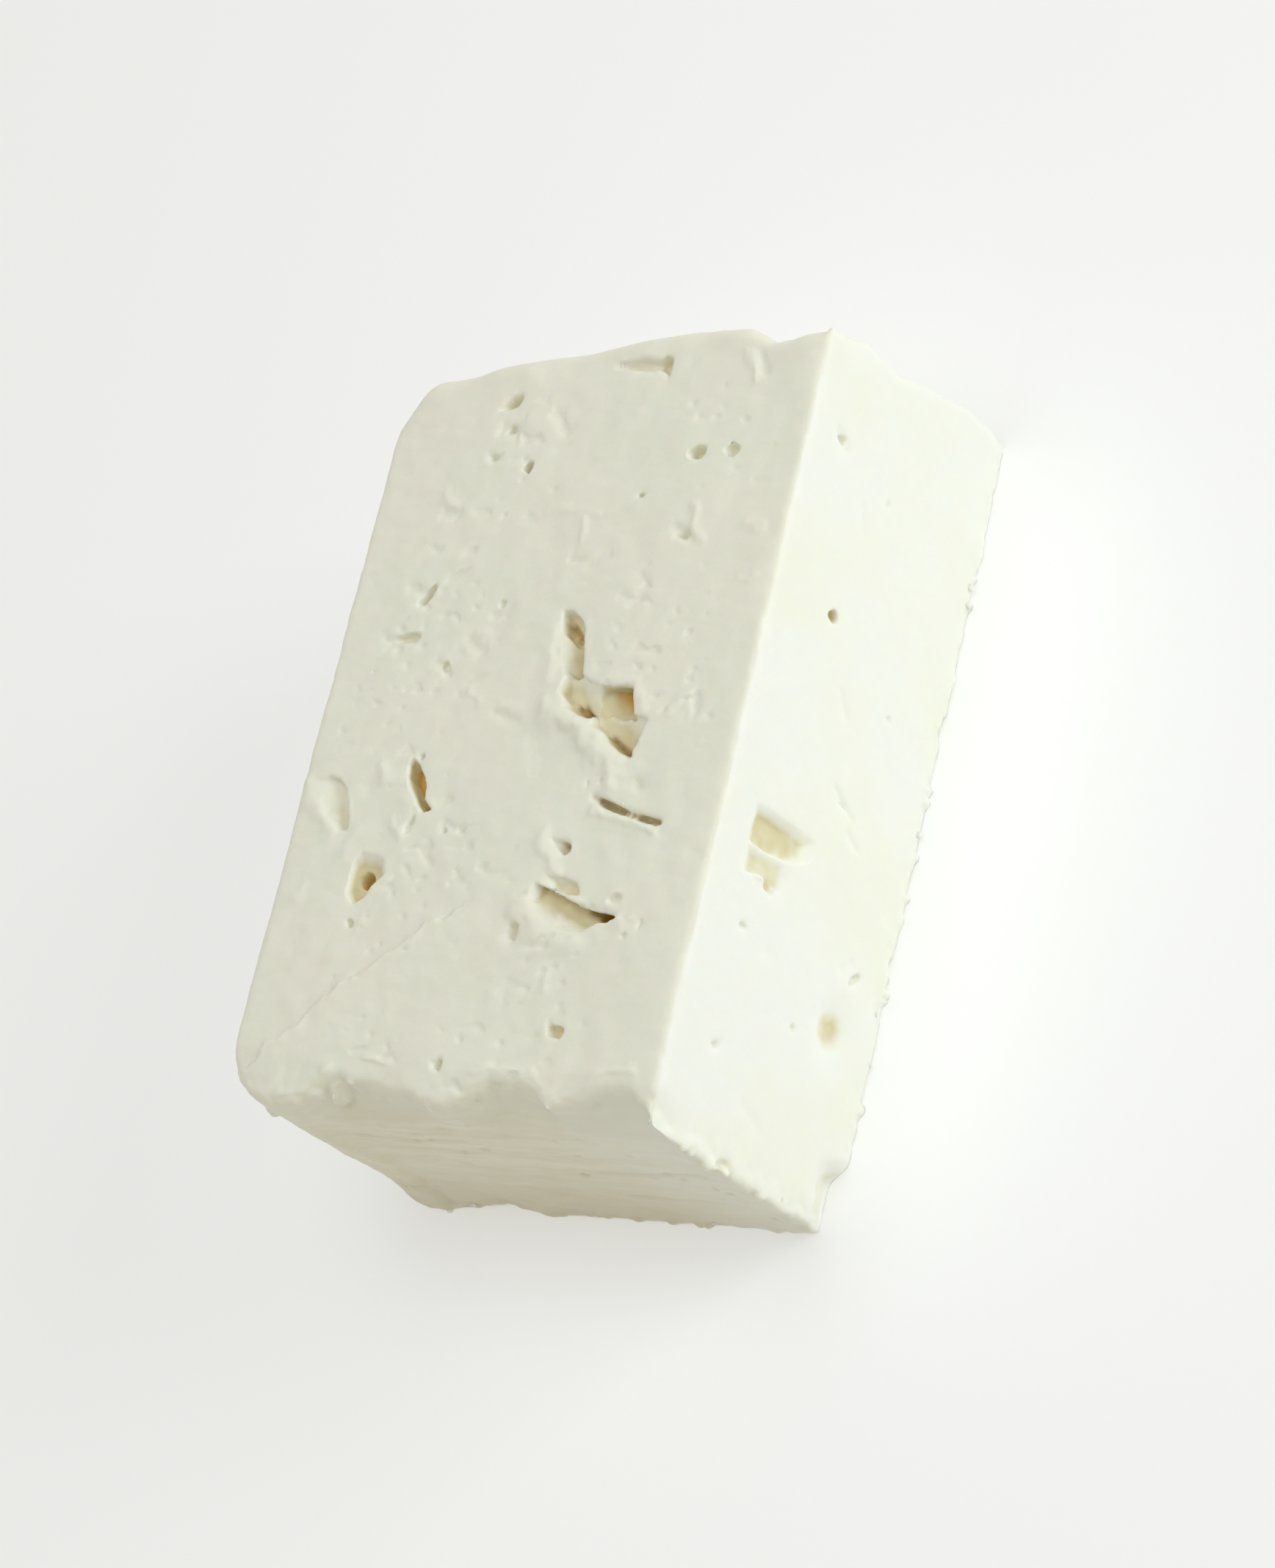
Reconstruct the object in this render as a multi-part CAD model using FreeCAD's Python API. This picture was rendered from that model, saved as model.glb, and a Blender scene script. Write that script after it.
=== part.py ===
import FreeCAD, Part
import math
import os

from FreeCAD import Vector

# A block of brined white cheese (feta), lying on its large back face. It is one solid.
#
# The curd was pressed in a mould and then cut. Two corners and the side between them are moulded
# skin, which is rounded. The cut side, at low Y, is flat with crisp edges. Gas and whey left
# openings in the curd: where one meets a face it is a pit with angular walls.
#
# Millimetres, +Z up. The origin is the middle of the box round the block, at its foot. +X runs
# along the block to the far end, and +Y runs from the cut side to the moulded side.

# ---- the block ---------------------------------------------------------------------------------

LENGTH = 114.0  # of the foot, along X
WIDTH = 79.0  # of the foot, along Y
HEIGHT = 40.0

NEAR_LEAN = 3.5  # how far the near end leans in over the height
FAR_LEAN = 0.6  # the same for the far end
CUT_LEAN = 1.4  # the same for the cut side
FAR_SKEW = 2.4  # how much shorter the block is at its moulded side than at its cut side

FAR_CORNER = 9.0  # radius of the far moulded corner, seen from above
NEAR_CORNER = 8.0  # radius of the near moulded corner
SKIN_ROUND = 1.8  # rounding of the moulded edges round the top
CUT_ROUND = 0.8  # rounding of the cut side's edges
FOOT_ROUND = 0.6  # rounding of the foot's edges

# ---- the openings ------------------------------------------------------------------------------

PROUD = 1.0  # how far a cutter stands out of its face, so that it cuts cleanly
PIT_SIDES = 7  # corners of a small pit's mouth
PIT_UNEVEN = 0.14  # how far those corners stray from an ellipse, as a share of it
PIT_FLOOR = 0.45  # a small pit's floor, as a share of its mouth

# The large openings of the top face and the cut side. A place is two shares of the face: along it
# from the near end, and across from the cut side or up from the foot. Then come the depth, the
# floor as a share of the mouth, the floor's shift in the face, and the mouth's corners from the
# place, both in millimetres.
TOP_OPENINGS = {
    "slot": (
        (0.599, 0.424), 3.8, 0.55, (0.0, -0.7),
        [(5, 3.2), (4.2, 0.7), (0.7, -2.1), (-4.5, -3.1), (-5, -1.4), (-2.3, 0.6), (2.2, 2.6)],
    ),
    "groin": (
        (0.523, 0.362), 2.4, 0.5, (-0.6, 0.0),
        [(1, 5), (3, 1), (1, -4), (-3.3, -2.5), (-2.7, -1), (-0.2, 4.5)],
    ),
    "square hole": (
        (0.510, 0.278), 5.2, 0.8, (0.3, -0.2),
        [(2.7, 3), (2.5, -1.6), (-1.5, -3), (-2.5, -1), (-2.2, 3)],
    ),
    "wedge": (
        (0.478, 0.259), 2.8, 0.45, (-0.7, -0.6),
        [(1.5, 5.5), (1.7, -3.3), (-3.5, -2), (-1.2, 2.6)],
    ),
    "slit": (
        (0.410, 0.697), 4.6, 0.6, (-0.2, -0.2),
        [(3.7, 2.9), (2.9, 1.2), (0.5, -0.8), (-3.7, -3.1), (-3.7, -1.3), (-0.8, 0.4), (1.5, 2.2)],
    ),
    "hollow": (
        (0.291, 0.778), 3.6, 0.4, (-0.5, 0.3),
        [(3, 1.7), (2.5, -1.3), (0.5, -3), (-1.5, -0.3), (-3, 1.2), (-1.5, 2.7), (1, 2.7)],
    ),
    "leaf": (
        (0.396, 0.905), 1.6, 0.35, (0.4, -1.0),
        [(4, 4), (3, 0.5), (2, -1.5), (-1, -3.5), (-4.5, -4), (-3, -1.2), (1, 3)],
    ),
    "shell": (
        (0.250, 0.272), 3.6, 0.35, (0.4, -1.8),
        [(3.5, 7.5), (1, 1), (0, -3), (-1.5, -7), (-3.3, -2), (-2.6, 1.4), (0, 4.4)],
    ),
}
CUT_OPENINGS = {
    "deep lobe": (
        (0.392, 0.70), 3.2, 0.4, (1.0, 0.0),
        [(-4, 6.5), (2, 6), (3, 2), (3, -5), (2, -8), (0, -5), (-2.5, 2)],
    ),
    "flat lobe": (
        (0.346, 0.70), 1.6, 0.6, (0.6, 0.0),
        [(-2.2, 5.5), (1.3, 6.5), (3.3, 1), (1.8, -6), (-0.7, -7), (-2.5, -3)],
    ),
}

# The small pits of each face: the two shares, the mouth's length and width, the depth, and the turn
# of the mouth in degrees. The sides and ends that a moulding cloth pressed have fewer.
TOP_PITS = [
    (0.841, 0.240, 2.0, 3.0, 1.3, 0),
    (0.843, 0.170, 1.6, 2.4, 1.1, -10),
    (0.956, 0.400, 1.7, 7.0, 1.1, -6),
    (0.928, 0.705, 1.5, 4.4, 1.2, 8),
    (0.842, 0.630, 1.9, 2.0, 1.4, 0),
    (0.669, 0.795, 4.2, 1.6, 1.1, -40),
    (0.328, 0.323, 2.2, 3.0, 1.4, 20),
    (0.218, 0.394, 2.6, 2.4, 0.9, 0),
    (0.100, 0.257, 3.0, 2.0, 1.7, 50),
    (0.052, 0.491, 1.8, 1.8, 1.0, 0),
    (0.358, 0.702, 2.6, 1.8, 0.9, 10),
    (0.731, 0.230, 2.0, 3.0, 0.9, 0),
]
CUT_PITS = [
    (0.668, 0.675, 1.8, 1.8, 2.4, 0),
    (0.880, 0.825, 1.8, 2.4, 0.9, 0),
    (0.290, 0.150, 4.6, 1.8, 1.1, -45),
    (0.215, 0.200, 3.6, 5.0, 1.8, 0),
]
SKIN_PITS = [
    (0.300, 0.620, 6.0, 3.0, 2.0, 20),
    (0.520, 0.350, 3.4, 2.4, 1.4, -30),
    (0.760, 0.540, 4.6, 2.0, 1.6, 50),
]
FAR_PITS = [
    (0.300, 0.600, 5.0, 3.0, 2.0, -25),
    (0.640, 0.380, 3.2, 2.2, 1.4, 15),
]
NEAR_PITS = [
    (0.620, 0.420, 2.6, 1.6, 0.9, 10),
]

# Bits broken out of the edges: the shares of the block along X, Y and Z, the way that the broken
# face looks, its length along the edge, its width, and how deep it goes.
CHIPS = [
    ((1.0, 0.10, 1.0), (1, 0, 1), 9.0, 4.0, 0.9),
    ((1.0, 0.0, 0.72), (1, -1, 0), 8.0, 3.6, 0.9),
    ((0.0, 0.62, 1.0), (-1, 0, 1), 14.0, 4.0, 0.8),
    ((0.0, 0.22, 1.0), (-1, 0, 1), 9.0, 4.0, 0.9),
    ((0.0, 0.0, 0.45), (-1, -1, 0), 7.0, 3.4, 0.8),
    ((0.0, 0.06, 0.0), (-1, 0, -1), 9.0, 6.0, 1.8),
]

X = Vector(1, 0, 0)
Y = Vector(0, 1, 0)
Z = Vector(0, 0, 1)


def block_point(along, across, up):
    """The point of the block at its three shares, on the leaning and skewed sides at 0 and 1."""
    cut = -WIDTH / 2 + CUT_LEAN * up
    y = cut + (WIDTH / 2 - cut) * across
    near = -LENGTH / 2 + NEAR_LEAN * up
    far = LENGTH / 2 - FAR_LEAN * up - FAR_SKEW * (y + WIDTH / 2) / WIDTH
    return Vector(near + (far - near) * along, y, HEIGHT * up)


def rounded_outline(corners):
    """A closed wire through (point, radius) corners, each rounded by an arc of its radius."""
    edges = []
    ends = []
    starts = []
    for i, (corner, radius) in enumerate(corners):
        back = (corners[i - 1][0] - corner).normalize()
        ahead = (corners[(i + 1) % len(corners)][0] - corner).normalize()
        half = back.getAngle(ahead) / 2
        reach = radius / math.tan(half)
        starts.append(corner + back * reach)
        ends.append(corner + ahead * reach)
        if i:
            edges.append(Part.makeLine(ends[i - 1], starts[i]))
        if radius:
            middle = corner + (back + ahead).normalize() * (radius / math.sin(half) - radius)
            edges.append(Part.Arc(starts[i], middle, ends[i]).toShape())
    edges.append(Part.makeLine(ends[-1], starts[0]))
    return Part.Wire(edges)


def outline_at(up):
    """The block's outline at a share of its height: sharp at the cut side, round at the skin."""
    corners = [
        (block_point(0, 0, up), 0.0),
        (block_point(1, 0, up), 0.0),
        (block_point(1, 1, up), FAR_CORNER),
        (block_point(0, 1, up), NEAR_CORNER),
    ]
    return rounded_outline(corners)


def at_foot(edge):
    return edge.BoundBox.ZMax < 0.1


def on_cut_side(edge):
    return edge.BoundBox.YMax < -WIDTH / 2 + CUT_LEAN + 0.1


def on_top(edge):
    return edge.BoundBox.ZMin > HEIGHT - 0.1


def curd_body():
    """The whole block before anything is cut out: a leaning slab with eased edges."""
    body = Part.makeLoft([outline_at(0), outline_at(1)], True, True)
    skin = [edge for edge in body.Edges if on_top(edge) and not on_cut_side(edge)]
    body = body.makeFillet(SKIN_ROUND, skin)
    cut = [edge for edge in body.Edges if on_cut_side(edge) and not at_foot(edge)]
    body = body.makeFillet(CUT_ROUND, cut)
    return body.makeFillet(FOOT_ROUND, [edge for edge in body.Edges if at_foot(edge)])


def pit_mouth(length, width, turn):
    """The uneven many-sided mouth of a small pit, turned in its face."""
    turned = FreeCAD.Rotation(Z, turn)
    corners = []
    for i in range(PIT_SIDES):
        around = 2 * math.pi * i / PIT_SIDES
        size = 1 + PIT_UNEVEN * math.sin(3 * i + length)
        corner = Vector(length / 2 * math.cos(around), width / 2 * math.sin(around), 0) * size
        corners.append(turned.multVec(corner))
    return corners


def cutter(mouth, depth, floor_share, shift):
    """A many-sided plug that narrows from the mouth, at height 0, to its floor, depth below.

    It goes on widening above the mouth until it is PROUD of the face.
    """
    rings = []
    for below in (-PROUD, depth):
        share = below / depth
        size = 1 + (floor_share - 1) * share
        ring = [corner * size + shift * share - Z * below for corner in mouth]
        rings.append(Part.makePolygon(ring + ring[:1]))
    return Part.makeLoft(rings, True, True)


def set_in(plug, place, along, outwards):
    """The plug moved to its place, with its own X along the face and its own Z outwards."""
    turn = FreeCAD.Rotation(along, outwards.cross(along), outwards, "ZXY")
    plug.Placement = FreeCAD.Placement(place, turn)
    return plug


def large_openings():
    """The plugs of the outlined openings of the top face and the cut side."""
    plugs = []
    for (along, across), depth, floor_share, shift, corners in TOP_OPENINGS.values():
        plug = cutter([Vector(*corner) for corner in corners], depth, floor_share, Vector(*shift))
        plugs.append(set_in(plug, block_point(along, across, 1), X, Z))
    for (along, up), depth, floor_share, shift, corners in CUT_OPENINGS.values():
        plug = cutter([Vector(*corner) for corner in corners], depth, floor_share, Vector(*shift))
        plugs.append(set_in(plug, block_point(along, 0, up), X, -Y))
    return plugs


def small_pits():
    """The plugs of the small pits of all five free faces."""
    faces = [
        (TOP_PITS, lambda along, across: block_point(along, across, 1), X, Z),
        (CUT_PITS, lambda along, up: block_point(along, 0, up), X, -Y),
        (SKIN_PITS, lambda along, up: block_point(along, 1, up), -X, Y),
        (FAR_PITS, lambda across, up: block_point(1, across, up), Y, X),
        (NEAR_PITS, lambda across, up: block_point(0, across, up), -Y, -X),
    ]
    plugs = []
    for pits, place, along, outwards in faces:
        for first, second, length, width, depth, turn in pits:
            plug = cutter(pit_mouth(length, width, turn), depth, PIT_FLOOR, Vector())
            plugs.append(set_in(plug, place(first, second), along, outwards))
    return plugs


def chips():
    """The plugs that break bits out of the edges, each turned so that it lies along its edge."""
    plugs = []
    for shares, way, length, width, depth in CHIPS:
        outwards = Vector(*way).normalize()
        along = Z if way[2] == 0 else Y
        plug = cutter(pit_mouth(length, width, 0), depth, PIT_FLOOR, Vector())
        plugs.append(set_in(plug, block_point(*shares), along, outwards))
    return plugs


def centred(block):
    """The block moved so that the middle of its box, at the foot, is the origin."""
    box = block.optimalBoundingBox(False)
    block.translate(Vector(-box.Center.x, -box.Center.y, -box.ZMin))
    return block


def feta_block():
    """The finished block, a single solid."""
    block = curd_body()
    for plug in large_openings() + small_pits() + chips():
        block = block.cut(plug)
    return centred(block.Solids[0])


def main():
    os.makedirs("parts", exist_ok=True)
    block = feta_block()
    box = block.optimalBoundingBox(False)
    print(f"feta_block: valid {block.isValid()}, volume {block.Volume:.0f} mm3, faces {len(block.Faces)}")
    print(f"box: {box.XLength:.2f} x {box.YLength:.2f} x {box.ZLength:.2f} mm")
    block.exportStep("parts/feta_block.step")


main()
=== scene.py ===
# %% [markdown]
# # A block of feta
# This lesson gives a plain solid block of cheese its looks. The solid comes from a CAD model with
# the right size, and it stays the authority on size. Here the block is modelled again as curd: with
# angular openings, crumbled edges, faint wire marks, and a moist surface that light sinks into.

# %% Load the frame
import itertools
import math

import bmesh
import bpy
import numpy as np
from mathutils import Matrix, Vector
from mathutils.bvhtree import BVHTree


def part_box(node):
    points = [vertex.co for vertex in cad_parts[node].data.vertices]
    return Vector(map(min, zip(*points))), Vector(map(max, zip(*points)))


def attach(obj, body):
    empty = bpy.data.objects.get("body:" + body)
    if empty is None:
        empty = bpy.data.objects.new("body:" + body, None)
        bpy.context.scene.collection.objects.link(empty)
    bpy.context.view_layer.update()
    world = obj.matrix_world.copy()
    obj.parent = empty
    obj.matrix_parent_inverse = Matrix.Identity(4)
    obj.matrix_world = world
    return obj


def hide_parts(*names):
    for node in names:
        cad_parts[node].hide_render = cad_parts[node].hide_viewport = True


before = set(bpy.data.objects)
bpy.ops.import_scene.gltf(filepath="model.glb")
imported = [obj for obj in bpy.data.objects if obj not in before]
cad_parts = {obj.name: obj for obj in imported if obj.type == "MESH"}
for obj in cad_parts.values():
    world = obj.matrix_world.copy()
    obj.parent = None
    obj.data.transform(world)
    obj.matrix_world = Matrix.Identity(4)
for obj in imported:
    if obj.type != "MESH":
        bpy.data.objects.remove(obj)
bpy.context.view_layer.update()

low, high = (Vector(corner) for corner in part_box("feta_block"))
MM = 0.001
print("the block's box in mm:", [round(v / MM, 1) for v in high - low])

# %% [markdown]
# ## Places on the block
# The near end (low X), the far end, and the cut side (low Y) lean in a little, as soft curd does,
# and the far end runs slightly askew. So a place is given on a face, in millimetres from the
# middle of the block, and a small function turns it into a point. All later steps use these.

# %% Faces and places
NEAR_LEAN = 3.5 * MM
FAR_LEAN = 0.6 * MM
CUT_LEAN = 1.4 * MM
FAR_SKEW = 2.4 * MM
HEIGHT = high.z - low.z
X, Y, Z = Vector((1, 0, 0)), Vector((0, 1, 0)), Vector((0, 0, 1))


def near_x(z):
    return low.x + NEAR_LEAN * z / HEIGHT


def far_x(y, z):
    return high.x - FAR_LEAN * z / HEIGHT - FAR_SKEW * (y - low.y) / (high.y - low.y)


def cut_y(z):
    return low.y + CUT_LEAN * z / HEIGHT


def on_top(x, y):
    return Vector((x * MM, y * MM, high.z))


def on_cut(x, z):
    return Vector((x * MM, cut_y(z * MM), z * MM))


def on_skin(x, z):
    return Vector((x * MM, high.y, z * MM))


def on_near(y, z):
    return Vector((near_x(z * MM), y * MM, z * MM))


def on_far(y, z):
    return Vector((far_x(y * MM, z * MM), y * MM, z * MM))


print("top face starts at x =", round(near_x(HEIGHT) / MM, 1), "mm")

# %% [markdown]
# ## Operators that need a selection
# Most operators of Blender act on whatever is selected. These two helpers make that safe: one
# leaves a single object selected and active, and the other picks vertices in edit mode by place.

# %% Selecting in code


def choose(*pieces):
    """Selects only these objects and makes the last one active."""
    bpy.ops.object.select_all(action="DESELECT")
    for piece in pieces:
        piece.select_set(True)
    bpy.context.view_layer.objects.active = pieces[-1]
    return pieces[-1]


def pick(test, kind="VERT", unless=None):
    """In edit mode, selects vertices or edges whose ends all pass the test, but not all of them unless."""
    bpy.ops.mesh.select_mode(type=kind)
    bpy.ops.mesh.select_all(action="DESELECT")
    mesh = bmesh.from_edit_mesh(bpy.context.object.data)
    items = mesh.verts if kind == "VERT" else mesh.edges
    for item in items:
        ends = [item.co] if kind == "VERT" else [vert.co for vert in item.verts]
        left_out = unless is not None and all(unless(end) for end in ends)
        item.select_set(all(test(end) for end in ends) and not left_out)
    mesh.select_flush_mode()
    bmesh.update_edit_mesh(bpy.context.object.data)


def apply_modifier(piece, kind, **settings):
    """Adds a modifier with its settings and applies it at once."""
    choose(piece)
    modifier = piece.modifiers.new(kind.lower(), kind)
    for name, value in settings.items():
        setattr(modifier, name, value)
    bpy.ops.object.modifier_apply(modifier=modifier.name)


# %% [markdown]
# ## The block of curd
# A block like this is pressed in a mould and cut into pieces. The moulded side keeps two round
# corners, and a wire leaves the cut side flat with crisp edges. A cube with leaning sides and
# bevelled edges has that form. The bevels come in three sizes: corners, skin edges, cut edges.

# %% Model the block
FAR_CORNER = 9.0 * MM
NEAR_CORNER = 8.0 * MM
SKIN_ROUND = 1.8 * MM
CUT_ROUND = 1.1 * MM
SLACK = 0.2 * MM
CORNER_STEPS, SKIN_STEPS, CUT_STEPS = 10, 4, 3

bpy.ops.object.select_all(action="DESELECT")
bpy.ops.mesh.primitive_cube_add(size=1, location=(low + high) / 2, scale=high - low)
curd = bpy.context.object
curd.name = "curd"
bpy.ops.object.transform_apply(location=True, rotation=True, scale=True)
bpy.ops.object.mode_set(mode="EDIT")
top = lambda p: p.z > high.z - SLACK
pick(lambda p: top(p) and p.x < 0)
bpy.ops.transform.translate(value=(NEAR_LEAN, 0, 0))
pick(lambda p: top(p) and p.x > 0)
bpy.ops.transform.translate(value=(-FAR_LEAN, 0, 0))
pick(lambda p: top(p) and p.y < 0)
bpy.ops.transform.translate(value=(0, CUT_LEAN, 0))
pick(lambda p: p.x > 0 and p.y > 0)
bpy.ops.transform.translate(value=(-FAR_SKEW, 0, 0))
pick(lambda p: p.x > 0 and p.y > 0, "EDGE")
bpy.ops.mesh.bevel(offset=FAR_CORNER, segments=CORNER_STEPS, affect="EDGES")
pick(lambda p: p.x < near_x(HEIGHT) + SLACK and p.y > high.y - SLACK, "EDGE")
bpy.ops.mesh.bevel(offset=NEAR_CORNER, segments=CORNER_STEPS, affect="EDGES")
pick(lambda p: p.y < cut_y(p.z) + SLACK, "EDGE")
bpy.ops.mesh.bevel(offset=CUT_ROUND, segments=CUT_STEPS, affect="EDGES")
# The top edge of the cut side is rounded already, and its round ends this far in.
beside_cut = cut_y(HEIGHT) + CUT_ROUND
pick(lambda p: top(p) and p.y > beside_cut - SLACK, "EDGE", unless=lambda p: p.y < beside_cut + SLACK)
bpy.ops.mesh.bevel(offset=SKIN_ROUND, segments=SKIN_STEPS, affect="EDGES")
bpy.ops.mesh.select_all(action="DESELECT")
bpy.ops.object.mode_set(mode="OBJECT")
print("the plain block has", len(curd.data.polygons), "faces")

# %% Keep its plain surface for measuring later


def surface_of(piece):
    """A search tree of a piece's surface, for finding how deep a point lies below it."""
    mesh = bmesh.new()
    mesh.from_mesh(piece.data)
    tree = BVHTree.FromBMesh(mesh)
    mesh.free()
    return tree


plain_surface = surface_of(curd)

# %% [markdown]
# ## Openings in the curd
# Gas and whey leave openings between the grains of curd. They aren't round bubbles: grains of curd
# bound them, so they have corners, flat walls, and floors that slope down under one side. Each is
# modelled as a plug of that shape: an outline is pushed into the face, where it narrows, and its
# floor is tilted. All plugs are then cut out of the block at once.

# %% Make one plug
PROUD = 1.0 * MM
BRIM = 0.05 * MM
SHALLOWEST = 0.25
plug_list = []
plug_facts = []


def plug(place, along, outwards, mouth, depth, floor=0.5, slide=(0, 0), tilt=(0, 0), whey_and_shade=0.5):
    """Pushes an outline, its mouth, into a face. Lengths are in mm.

    floor is the size of the floor as a share of the mouth, slide moves the floor along the face, and
    tilt is how much deeper it gets for each mm along the face. The last argument is how stained the opening
    is; it also sets how much painted shade its deep parts get.
    """
    bpy.ops.object.select_all(action="DESELECT")
    bpy.ops.mesh.primitive_circle_add(vertices=len(mouth), radius=MM, fill_type="NGON")
    piece = bpy.context.object
    middle = sum((Vector(corner) for corner in mouth), Vector((0, 0))) / len(mouth)
    for vertex, corner in zip(piece.data.vertices, mouth):
        vertex.co = Vector((corner[0] * MM, corner[1] * MM, PROUD))
    bpy.ops.object.mode_set(mode="EDIT")
    bpy.ops.mesh.select_all(action="SELECT")
    bpy.ops.mesh.extrude_region_move(TRANSFORM_OT_translate={"value": (0, 0, BRIM - PROUD)})
    bpy.ops.mesh.extrude_region_move(TRANSFORM_OT_translate={"value": (0, 0, -depth * MM)})
    mesh = bmesh.from_edit_mesh(piece.data)
    for vertex in mesh.verts:
        if vertex.select:
            offset = vertex.co.xy / MM - middle
            deep = max(depth + offset.dot(Vector(tilt)), SHALLOWEST)
            spot = middle + offset * floor + Vector(slide)
            vertex.co = Vector((spot.x, spot.y, -deep)) * MM
    bpy.ops.mesh.select_all(action="SELECT")
    bpy.ops.mesh.quads_convert_to_tris()
    bpy.ops.mesh.normals_make_consistent(inside=False)
    bpy.ops.object.mode_set(mode="OBJECT")
    frame_axes = Matrix((along, outwards.cross(along), outwards)).transposed().to_4x4()
    piece.matrix_world = Matrix.Translation(place) @ frame_axes
    reach = max((Vector(corner) - middle).length for corner in mouth) * MM
    plug_middle = piece.matrix_world @ (Vector((middle.x, middle.y, -depth / 2)) * MM)
    plug_facts.append((plug_middle, max(reach, depth * MM / 2), whey_and_shade))
    plug_list.append(piece)


print("plugs stand", PROUD / MM, "mm proud of their face")

# %% [markdown]
# ### The large openings
# These are the ones that give this block its face, so each has its own outline. The slot, the
# groin, the square hole and the wedge meet in one ragged cluster. The shell's floor slopes up to
# its low rim like the inside of a mussel, and it is deepest at the tip, under an overhanging flap.

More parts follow.
